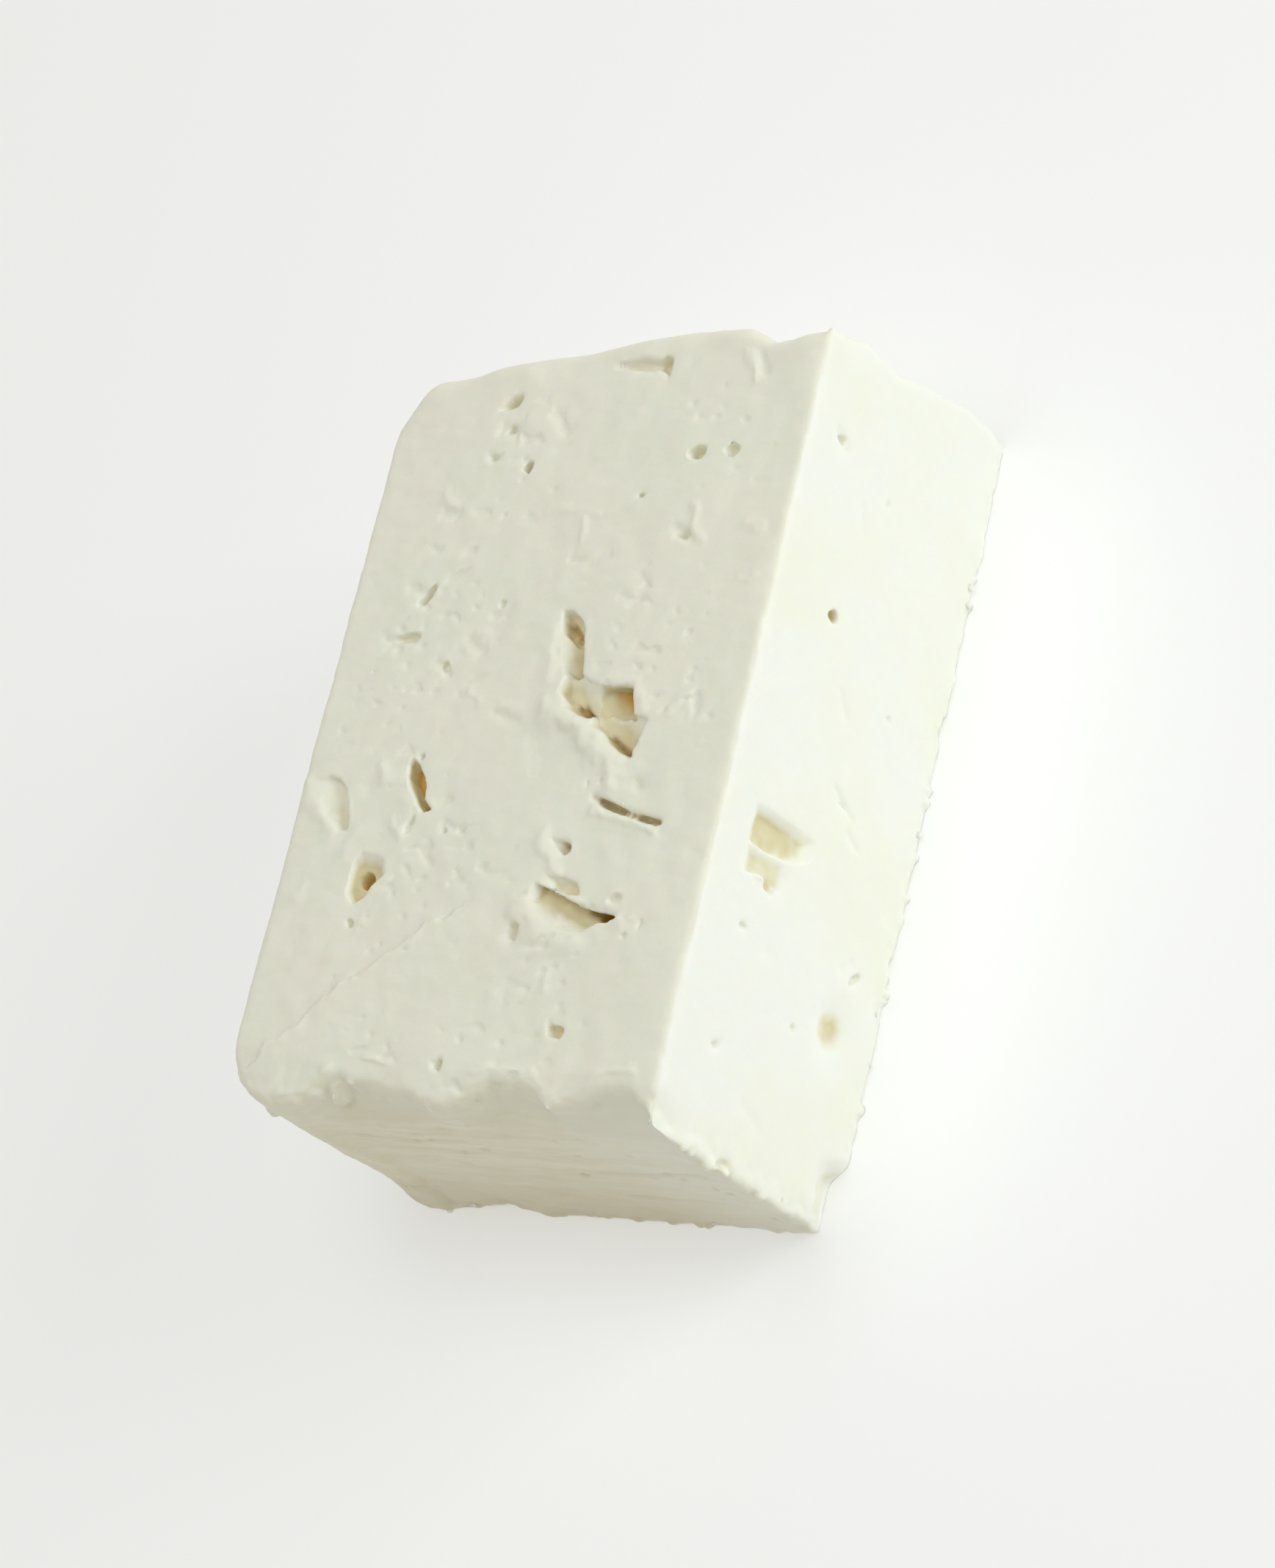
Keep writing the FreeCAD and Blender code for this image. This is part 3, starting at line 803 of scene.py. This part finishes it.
# The larger strokes. The last ones lie at the torn edge.
TOP_STROKES = [
    (stroke, FLAP_RIDGE, 1.4, 0.62),
    (stroke, [(13.4, -0.8), (9.4, -1.8), (7.4, -3)], 1.5, 0.24),
    (stroke, [(13, -3), (8.2, -4.4)], 1.2, -0.3),
    (stroke, [(6.2, -12), (5.9, -18), (1.6, -20.6)], 0.8, 0.22),
    (dab, (-4.4, -4.8), 3.2, -0.35),
    (dab, (-8.9, -22.6), 1.7, -0.45),
    (dab, (-8, -19.8), 1.4, -0.25),
    (ledge, [(-27.2, -25.4), (-26, -20.2), (-24.4, -16.4)], 1.6, 0.4),
    (stroke, [(-12.4, -16.4), (-14.2, -21.4), (-15.4, -27.4)], 0.6, 0.34),
    (stroke, [(-26, -7.6), (-29, -9.8), (-31, -14.6), (-31, -18)], 1.5, 0.42),
    (dab, (-29.6, -7.4), 1.5, -0.45),
    (stroke, [(-16.2, -8.2), (-18.6, -10.8), (-21, -12.6)], 0.9, 0.32),
    (stroke, [(-7.6, 38), (-11.2, 35), (-15, 30.6)], 1.3, 0.3),
    (stroke, [(-13.6, 19.6), (-15.6, 16.8)], 0.7, 0.25),
    (stroke, [(-5.4, 24), (-7.2, 22.4)], 0.8, 0.3),
    (dab, (-8.4, 25.6), 1.3, -0.25),
    (stroke, [(-21.6, 18), (-24, 20.4)], 0.7, 0.22),
    (dab, (-28.8, 21), 0.8, 0.25),
    (ledge, LONG_RIDGE, 6, 0.52, 0.4),
    (stroke, LONG_RIDGE, 0.9, 0.26),
    (dab, (52, 14), 2.6, 0.28),
    (stroke, [(-15.2, 26), (-19, 27.6)], 1, 0.16),
]
LAST_STROKES = [
    (stroke, [(-49.6, -7.4), (-50, -14), (-50.8, -16.4)], 1.5, 0.32),
    (stroke, [(-49.8, -28.4), (-48.6, -33)], 1.5, 0.32),
    (dab, (-50.4, 20.4), 1.8, 0.5),
]
points = points_of(curd)
u = points[:, 0] / MM + WIDE_BEND * lumps(points, 2.6 * MM, 41) + FINE_BEND * lumps(points, 1.1 * MM, 42)
v = points[:, 1] / MM + WIDE_BEND * lumps(points, 2.6 * MM, 43) + FINE_BEND * lumps(points, 1.1 * MM, 44)
rise = sculpt(u, v, TOP_STROKES)
for start, end, radius, height in MARKS:
    rise += stroke(u, v, [start, end], radius, height if height < 0 else RAISED_SHARE * height)
rise += sculpt(u, v, LAST_STROKES)
on_top_face = fade(points[:, 2], high.z - 9 * MM, high.z - 5 * MM)
points[:, 2] += rise * MM * on_top_face
set_points(curd, points)
say_moved("top face", rise)

# %% [markdown]
# ### The torn near edge
# The near end was torn off rather than cut, so its top edge runs in and out. At the upright edge of
# the cut side it flares out above a notch at the foot, and the moulded corner sags at the foot.

# %% Tear the near top edge
# For places along Y, in mm: how far the torn edge lies back from the near end.
TORN = [(-39, -1.4), (-36, 1), (-33.7, 2.4), (-29.5, 2.7), (-26.3, 1.9), (-23.1, 0.9), (-19.7, 0.5),
        (-16.8, 2.2), (-13.7, 2.6), (-9.3, 2.9), (-5.1, 0.9), (-1.8, -0.4), (0.6, -0.5), (4.8, 0.8),
        (9.4, 1.3), (14.2, 2.1), (17.7, 3), (21.5, 0.9), (25.4, -0.8), (30.5, -0.9), (36, -0.4)]
FLARE, NOTCH, SAG_X, SAG_Y = 1.2, 2.6, 0.5, 0.6
points = points_of(curd)
x, y, z = points.T
back = np.interp(y / MM, *zip(*TORN)) * MM
back = back * fade(z, 31 * MM, 38.5 * MM) * fade(x - near_x(z), 8 * MM, 1 * MM)
flare = fade(y, -33 * MM, -38.5 * MM) * fade(x, -48 * MM, -54 * MM) * fade(z, 3 * MM, 9 * MM)
gone = fade(x, -47 * MM, -51 * MM) * fade(z, 8 * MM, 1.5 * MM) * fade(y, -34 * MM, -39 * MM)
sag = fade(y, 27 * MM, 33 * MM) * fade(x, -45 * MM, -50 * MM) * fade(z, 9 * MM, 1 * MM)
points[:, 0] += back - (FLARE * flare + SAG_X * sag) * MM
points[:, 1] += (NOTCH * gone + SAG_Y * sag) * MM
set_points(curd, points)
say_moved("torn edge", back / MM)

# %% [markdown]
# ### The swollen far end
# Pressed curd bulges at its end. The top edge of the far end swells out except near the cut side,
# where a bit is missing, and the upright edge there swells out twice, low and high.

# %% Swell the far top edge and the far upright edge
# How far the edge stands out, in mm: for places along Y on the top edge, up Z on the upright one.
FAR_CROWN = [(-38, -0.4), (-34, -0.8), (-31, -1.2), (-28, -0.9), (-26, 0.2), (-23, 1.7), (-18, 2.3),
             (-10, 2.4), (0, 2.2), (8, 1.8), (15, 1.4), (20, 1.2), (30, 0.6), (36, 0)]
FAR_UPRIGHT = [(0, 0.2), (4, 1.2), (9, 1.9), (14, 1.4), (20, 0.5), (25, -0.4), (29, 0.5), (33, 1.4),
               (37, 0.9), (40, 0)]
GIVES_WAY = 0.6
points = points_of(curd)
x, y, z = points.T
inside_far = far_x(y, z) - x
crown = np.interp(y / MM, *zip(*FAR_CROWN)) * fade(z, 24 * MM, 38 * MM) * fade(inside_far, 12 * MM, 1 * MM)
upright = np.interp(z / MM, *zip(*FAR_UPRIGHT))
upright = upright * fade(y - cut_y(z), 13 * MM, 2 * MM) * fade(inside_far, 8 * MM, 1 * MM)
points[:, 0] += (crown + upright * (1 - GIVES_WAY * fade(z, 30 * MM, 40 * MM))) * MM
set_points(curd, points)
say_moved("far end", crown + upright)

# %% [markdown]
# ### Strokes on the near end and the cut side
# The near end has a soft crest near the moulded corner and a few cracks across it. The cut side has
# one soft round hollow and some faint scratches. The strokes push the skin straight out or in.

# %% Near end strokes
NEAR_STROKES = [
    (stroke, [(29, 37), (31, 29), (29.6, 22), (27.4, 17), (28.8, 9), (30, 2.5)], 2.2, 0.55),
    (stroke, [(24.8, 19.5), (25.6, 15), (26.6, 9), (27.2, 3)], 0.9, -0.35),
    (stroke, [(10.6, 1), (8.4, 5), (2, 8)], 1.8, 0.45),
    (dab, (17.5, 2), 3.6, -0.7),
    (stroke, [(-8, 19), (-20, 18.2), (-31, 19.4)], 0.5, -0.22),
    (stroke, [(-12, 10.4), (-27, 9.4)], 0.5, -0.2),
    (stroke, [(24, 27.5), (14, 26.2), (5, 27)], 0.6, -0.22),
]
points = points_of(curd)
across, up = points[:, 1] / MM, points[:, 2] / MM
rise = sculpt(across, up, NEAR_STROKES)
at_near = fade(points[:, 0], near_x(HEIGHT) + 1.5 * MM, near_x(HEIGHT))
points[:, 0] -= rise * MM * at_near
set_points(curd, points)
say_moved("near end", rise)

# %% Cut side strokes
CUT_STROKES = [
    (dab, SOFT_HOLLOW, 3.4, -1.2),
    (stroke, [(-1.6, 19.6), (-4.4, 15)], 0.4, -0.3),
    (stroke, [(-6.6, 15.2), (-8, 12.8)], 0.5, -0.22),
    (stroke, [(-22.4, 9), (-24, 10.2)], 0.7, -0.3),
    (dab, (-41.2, 31.4), 0.8, -0.45),
    (dab, (-25.2, 31.2), 0.7, -0.4),
    (dab, (-26.6, 26), 1.2, -0.22),
    (stroke, [(43.4, 34), (41.6, 31.8)], 0.7, -0.4),
    (stroke, [(36, 26.4), (33, 24.8)], 0.8, -0.25),
    (stroke, [(10.8, 22.4), (8, 20.4)], 0.6, -0.25),
    (stroke, [(-46.8, 24), (-48.6, 20.4)], 1, -0.22),
]
points = points_of(curd)
along, up = points[:, 0] / MM, points[:, 2] / MM
rise = sculpt(along, up, CUT_STROKES)
at_cut = fade(points[:, 1], cut_y(HEIGHT) + 1.8 * MM, cut_y(HEIGHT) + 0.6 * MM)
points[:, 1] -= rise * MM * at_cut
set_points(curd, points)
say_moved("cut side", rise)

# %% [markdown]
# ### Unevenness of the whole skin
# The faces swell and sink by a few tenths of a millimetre, under a finer grain and patches of small
# pocks. Long streaks run across the torn near end. The edges are ragged, because crumbs have come
# off. Nothing may sink under the foot, which stays flat.

# %% Where a point is
points = points_of(curd)
normals = normals_of(curd)
x, y, z = points.T
from_near = x - near_x(z)
from_far = far_x(y, z) - x
from_cut = y - cut_y(z)
from_skin = high.y - y
from_top = high.z - z
from_side = np.minimum(np.minimum(from_near, from_far), np.minimum(from_cut, from_skin))
is_cut = fade(-normals[:, 1], 0.5, 0.8)
is_skin = fade(normals[:, 1], 0.5, 0.8)
is_near = fade(-normals[:, 0], 0.4, 0.8) * fade(from_near, 4 * MM, 2 * MM)


def edge_nearness(first, second, radius):
    """1 on the edge where two faces meet, fading to 0, from how far points lie from each face."""
    return np.exp(-((np.hypot(first, second) / radius) ** 2))


foot_edge = edge_nearness(z, from_side, 2 * MM)
upright_near = edge_nearness(from_near, from_cut, 2 * MM)
upright_far = edge_nearness(from_far, from_cut, 3 * MM)
upper_near = edge_nearness(from_near, from_top, 4 * MM)
upper_far = edge_nearness(from_far, from_top, 3 * MM)
upper_cut = edge_nearness(from_cut, from_top, 1.6 * MM)
print("points near the foot's edge:", int((foot_edge > 0.5).sum()))

# %% Swell, grain, pocks and streaks
# How far each kind of unevenness moves the skin, in mm.
SWELL, SMALL_SWELL = 0.3, 0.13
GRAIN, FINE_GRAIN = 0.07, 0.05
POCK = 0.26
WALL = 0.16
STREAK, FINE_STREAK = 0.12, 0.06
smooth = 1 - 0.6 * is_cut - 0.4 * is_skin
swell = SWELL * lumps(points, 17 * MM, 11) + SMALL_SWELL * smooth * lumps(points, 6 * MM, 12)
pressed = points * np.array([1, 0.4, 1])
grain = GRAIN * lumps(points, 2.4 * MM, 13) + FINE_GRAIN * lumps(pressed, 1 * MM, 14)
grain = grain * smooth
few_pocks = 1 - 0.85 * is_cut - 0.5 * is_skin
marked = fade(lumps(points, 14 * MM, 21), -0.1, 0.5)
long_spots = lumps(points * np.array([1.6, 1, 1.6]), 1.9 * MM, 22)
pocks = -POCK * few_pocks * marked * fade(long_spots, 0.45, 0.8)
inside = fade(np.minimum(from_side, from_top), 0.5 * MM, 1.2 * MM)
walls = WALL * inside * lumps(points, 1.3 * MM, 23)
streaked = points * np.array([1, 0.1, 1])
streaks = STREAK * lumps(streaked, 4.2 * MM, 15) + FINE_STREAK * lumps(streaked, 1.8 * MM, 16)
say_moved("grain", grain)

# %% Crumble the edges and move the skin
# Each edge is bitten by its own share of the ragged or the soft noise, and worn back a little.
BITE = 0.2
ragged = lumps(points, 3.2 * MM, 17) + 0.5 * lumps(points, 1.2 * MM, 18)
soft = lumps(points, 7 * MM, 19)
worn = foot_edge * 0.55 * (ragged - BITE) + upright_near * 0.35 * (ragged - BITE)
worn += upper_near * (0.30 * ragged - 0.55) + upper_far * 0.55 * soft + upper_cut * (0.14 * ragged - 0.12)
worn += upright_far * (0.3 * soft - 0.1)
push = swell + grain + pocks + walls + is_near * streaks + worn
push = push * fade(z, 0, 0.8 * MM)
points += normals * (push * MM)[:, None]
points[:, 2] = np.where(points[:, 2] < 0.3 * MM, low.z, points[:, 2])
set_points(curd, points)
say_moved("skin", push)

# %% Thin out the mesh
MOST_TRIANGLES = 190000
triangles = sum(len(face.vertices) - 2 for face in curd.data.polygons)
apply_modifier(curd, "DECIMATE", ratio=MOST_TRIANGLES / triangles)
choose(curd)
bpy.ops.object.shade_smooth()
print("curd:", triangles, "triangles thinned to", len(curd.data.polygons))

# %% [markdown]
# ## What the finish needs to know
# Whey gathers in the openings and dries to a creamy yellow, more in some than in others, and the deep parts
# get painted shade as well. A material can't measure depth, so five numbers are stored on the points: how
# deep each lies below the plain skin, how stained and shaded its opening is, how torn and how freshly cut its
# face is (torn less near the top edge, which is painted lighter), and how near a crease is, for painted
# shade.

# %% Store depth, stain and shade, torn tone and lit top, fresh and crease shade
points = points_of(curd)
depth = depth_below(plain_surface, points) / MM
stain_and_shade = np.zeros(len(points))
best = np.full(len(points), np.inf)
for middle, reach, whey_and_shade in plug_facts:
    near = np.linalg.norm(points - np.array(middle), axis=1) / reach
    stain_and_shade = np.where(near < best, whey_and_shade, stain_and_shade)
    best = np.minimum(best, near)
stain_and_shade = stain_and_shade * fade(best, 1.9, 1.3) * (1 + 0.35 * lumps(points, 2.0 * MM, 51))
facing = normals_of(curd)
torn_with_lit_top = fade(-facing[:, 0], 0.3, 0.7) * fade(points[:, 0], -45 * MM, -48 * MM)
fresh = fade(-facing[:, 1], 0.45, 0.8) * fade(depth, 2, 1)
# Painted light: the torn tone fades out towards the top edge of the near end, so that band is painted
# lighter.
torn_with_lit_top = torn_with_lit_top * (1 - 0.6 * fade(points[:, 2], 29 * MM, 39 * MM))
# Painted shade goes along the creases, where they run deeper than about 0.3 mm.
crease_shade = crease_nearness(points) * fade(depth, 0.3, 1)
values_by_name = dict(depth=depth, stain_and_shade=stain_and_shade, torn_with_lit_top=torn_with_lit_top, fresh=fresh, crease_shade=crease_shade)
for name, values in values_by_name.items():
    attribute = curd.data.attributes.new(name, "FLOAT", "POINT")
    attribute.data.foreach_set("value", values)
print("deepest point", round(float(depth.max()), 1), "mm, stained points", int((stain_and_shade > 0.2).sum()))

# %% [markdown]
# ## The finish of the curd
# Feta is nearly white, a little cream, and moist. Light goes a few millimetres into it and comes
# out again, which softens every shadow, so the shader has subsurface scattering. The tone wanders
# between slightly warmer and slightly greener patches. A fine bump gives the grain of the curd.

# %% Node helpers


def linear(red, green, blue):
    """A colour as painters' values from 0 to 255, made linear for the shader."""
    values = [v / 255 for v in (red, green, blue)]
    return tuple(v / 12.92 if v <= 0.04045 else ((v + 0.055) / 1.055) ** 2.4 for v in values) + (1.0,)


class Finish:
    """A new material, with a short way to add each kind of node and get its output."""

    def __init__(self, name):
        self.material = bpy.data.materials.new(name)
        self.material.use_nodes = True
        self.tree = self.material.node_tree
        self.shader = self.tree.nodes["Principled BSDF"]

    def fill(self, made, inputs):
        """Gives each input of a node its value, or links it where the value is a socket."""
        for name, value in inputs.items():
            if isinstance(value, bpy.types.NodeSocket):
                self.tree.links.new(value, made.inputs[name])
            else:
                made.inputs[name].default_value = value

    def add(self, kind, inputs, output=0, **settings):
        made = self.tree.nodes.new(kind)
        for name, value in settings.items():
            setattr(made, name, value)
        self.fill(made, inputs)
        return made.outputs[output]

    def mix(self, factor, first, second):
        inputs = {0: factor, 6: first, 7: second}
        return self.add("ShaderNodeMix", inputs, 2, data_type="RGBA")

    def noise(self, place, scale, detail=3.0, rough=0.55):
        inputs = {"Vector": place, "Scale": scale, "Detail": detail, "Roughness": rough}
        return self.add("ShaderNodeTexNoise", inputs, "Fac")

    def remap(self, value, low_in, high_in, low_out=0.0, high_out=1.0):
        inputs = {"Value": value, "From Min": low_in, "From Max": high_in}
        inputs |= {"To Min": low_out, "To Max": high_out}
        return self.add("ShaderNodeMapRange", inputs, "Result", interpolation_type="SMOOTHSTEP")

    def maths(self, operation, first, second):
        return self.add("ShaderNodeMath", {0: first, 1: second}, operation=operation)

    def stored(self, name):
        """A number that the mesh stores on its points."""
        return self.add("ShaderNodeAttribute", {}, "Fac", attribute_name=name)


print("node helpers are ready")

# %% Colours
CREAM = linear(244, 243, 232)
WARM = linear(244, 241, 230)
GREENISH = linear(241, 243, 230)
WHITE = linear(250, 251, 246)
IVORY = linear(248, 250, 238)
TORN_LIGHT = linear(243, 238, 218)
TORN_DARK = linear(237, 230, 208)
# Painted shade at the foot of the torn end.
TORN_FOOT_SHADE = linear(226, 217, 194)
# The next two colours are partly whey stain and partly painted shade in the openings.
WHEY_AND_SHADE = linear(226, 216, 180)
OCHRE = linear(211, 173, 96)
# Painted shade for the creases.
CREASE_SHADE = linear(150, 120, 66)
print("cream is", CREAM)

# %% The plain tone, and the torn and the cut faces
finish = Finish("curd")
place = finish.add("ShaderNodeTexCoord", {}, "Object")
patches = finish.remap(finish.noise(place, 45.0, 2.0), 0.35, 0.65)
mottle = finish.remap(finish.noise(place, 260.0, 4.0, 0.65), 0.40, 0.62)
tone = finish.mix(mottle, finish.mix(patches, WARM, GREENISH), CREAM)
stretched = finish.add("ShaderNodeMapping", {"Vector": place, "Scale": (1.0, 0.08, 1.0)})
lines = finish.remap(finish.noise(stretched, 420.0, 4.0, 0.7), 0.35, 0.62)
up = finish.add("ShaderNodeSeparateXYZ", {0: place}, "Z")
across = finish.add("ShaderNodeSeparateXYZ", {0: place}, "Y")
# Painted shade: the torn tone darkens towards the foot. Towards the cut side it turns back to cream.
foot_shade = finish.remap(up, 22 * MM, 2 * MM)
near_cut = finish.remap(across, -8 * MM, -34 * MM, 0.0, 0.8)
torn_tone_with_foot_shade = finish.mix(foot_shade, finish.mix(lines, TORN_DARK, TORN_LIGHT), TORN_FOOT_SHADE)
tone = finish.mix(finish.stored("torn_with_lit_top"), tone, finish.mix(near_cut, torn_tone_with_foot_shade, CREAM))
tone = finish.mix(finish.stored("fresh"), tone, finish.mix(patches, IVORY, WHITE))
print("the plain tone is mixed")

# %% Whey and painted shade in the openings
depth_stored = finish.stored("depth")
stain_and_shade_stored = finish.stored("stain_and_shade")
# Deeper points turn creamy yellow, then ochre: partly whey stain, partly painted shade of the deep parts.
for start, end, colour in ((0.3, 2.0, WHEY_AND_SHADE), (1.8, 4.2, OCHRE)):
    stained_and_shaded = finish.maths("MULTIPLY", finish.remap(depth_stored, start, end), stain_and_shade_stored)
    tone = finish.mix(finish.maths("MINIMUM", stained_and_shaded, 1.0), tone, colour)
# Painted shade: the creases under the flaps are painted dark brown.
tone = finish.mix(finish.maths("MULTIPLY", finish.stored("crease_shade"), 0.6), tone, CREASE_SHADE)
print("whey is mixed in")

# %% Light under the surface, dampness and grain
bumps = finish.noise(place, 900.0, 4.0, 0.6)
bump_inputs = {"Strength": 0.35, "Distance": 0.12 * MM, "Height": bumps}
finish.fill(finish.shader, {
    "Base Color": tone,
    "Roughness": finish.remap(finish.noise(place, 320.0, 3.0), 0.3, 0.7, 0.42, 0.60),
    "IOR": 1.40,
    "Subsurface Weight": 0.6,
    "Subsurface Radius": (1.0, 0.88, 0.66),
    "Subsurface Scale": 1.0 * MM,
    "Normal": finish.add("ShaderNodeBump", bump_inputs, "Normal"),
})
curd.data.materials.clear()
curd.data.materials.append(finish.material)
print("curd material has", len(finish.tree.nodes), "nodes")

# %% Hand the block over to the frame
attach(curd, "root")
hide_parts("feta_block")
print("curd stands for the plain block")

# %% [markdown]
# ## Crumbs
# A few more crumbs cling along the foot. Each is pressed partly into the finished block, so that none
# hangs in the air, and all are joined to one piece.

# %% Scatter crumbs along the foot
crumbs = []
for x_mm in random.uniform(-45, 52, 5):
    crumbs.append(crumb(on_cut(x_mm, random.uniform(0.4, 1.2)), random.uniform(0.3, 0.6) * MM))
for y_mm in random.uniform(-30, 30, 4):
    crumbs.append(crumb(on_near(y_mm, random.uniform(0.4, 1.2)), random.uniform(0.3, 0.6) * MM))
block_surface = surface_of(curd)
for piece in crumbs:
    spots = points_of(piece)
    middle = Vector(spots.mean(axis=0))
    found, _, _, _ = block_surface.find_nearest(middle)
    spots += np.array(found - middle)
    spots[:, 2] = np.maximum(spots[:, 2], low.z)
    set_points(piece, spots)
crumb_piece = choose(*crumbs)
bpy.ops.object.join()
crumb_piece.name = "crumbs"
bpy.ops.object.shade_smooth()
crumb_piece.data.materials.clear()
crumb_piece.data.materials.append(finish.material)
for name in values_by_name:
    crumb_piece.data.attributes.new(name, "FLOAT", "POINT")
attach(crumb_piece, "root")
print(len(crumbs), "crumbs,", len(crumb_piece.data.polygons), "faces")

# %% [markdown]
# ## Floor, light and camera
# The block lies on a plain pale floor. A large soft light stands on the side of the cut face, low
# enough to graze the top face, so that every pit shows. The rest is a warm even sky, which keeps the
# shadows light, as they are in and round white food.

# %% Floor
FLOOR = linear(226, 227, 230)
bpy.ops.object.select_all(action="DESELECT")
bpy.ops.mesh.primitive_plane_add(size=6.0, location=(0, 0, low.z))
floor = bpy.context.object
floor.name = "floor"
floor_finish = Finish("floor")
floor_finish.fill(floor_finish.shader, {
    "Base Color": FLOOR,
    "Roughness": 0.6,
    "Emission Color": (1.0, 1.0, 1.0, 1.0),
    "Emission Strength": 0.28,
})
floor.data.materials.append(floor_finish.material)

# %% Light
SKY = (1.0, 0.980, 0.76)
SKY_STRENGTH = 0.345
world = bpy.data.worlds.new("sky")
bpy.context.scene.world = world
world.use_nodes = True
world.node_tree.nodes["Background"].inputs["Color"].default_value = SKY + (1.0,)
world.node_tree.nodes["Background"].inputs["Strength"].default_value = SKY_STRENGTH


def soft_light(name, way, distance, size, watts, colour):
    """A square soft light that looks at the block from one way."""
    data = bpy.data.lights.new(name, "AREA")
    data.shape = "SQUARE"
    data.size = size
    data.energy = watts
    data.color = colour
    lamp = bpy.data.objects.new(name, data)
    bpy.context.collection.objects.link(lamp)
    spot = Vector(way).normalized() * distance
    lamp.location = spot
    lamp.rotation_euler = (-spot).to_track_quat("-Z", "Y").to_euler()
    return lamp


soft_light("key", (0.36, -0.88, 0.31), 1.2, 0.6, 5.1, (0.95, 1.0, 0.92))
soft_light("top", (0.10, -0.05, 1.0), 1.3, 1.2, 7.9, (0.90, 0.91, 1.0))

# %% Camera
# The camera looks down on the block from beyond its near corner, and is turned on its side, so
# that the long side of the block runs up the picture.
LENS = 90.0
SENSOR = 36.0
EYE = Vector((-155.9, -351.9, 400.5)) * MM
AIM = Vector((0.5, -2.0, 17.0)) * MM
UP = Vector((0.9406, 0.0050, 0.3396))
camera_data = bpy.data.cameras.new("camera")
camera_data.lens = LENS
camera_data.sensor_width = SENSOR
camera_data.clip_start = 0.01
camera = bpy.data.objects.new("camera", camera_data)
bpy.context.collection.objects.link(camera)
back = (EYE - AIM).normalized()
right = UP.cross(back).normalized()
camera.matrix_world = Matrix.Translation(EYE) @ Matrix((right, back.cross(right), back)).transposed().to_4x4()
bpy.context.scene.camera = camera
bpy.context.scene.view_settings.view_transform = "Standard"
print("camera is", round((EYE - AIM).length / MM), "mm from the block")
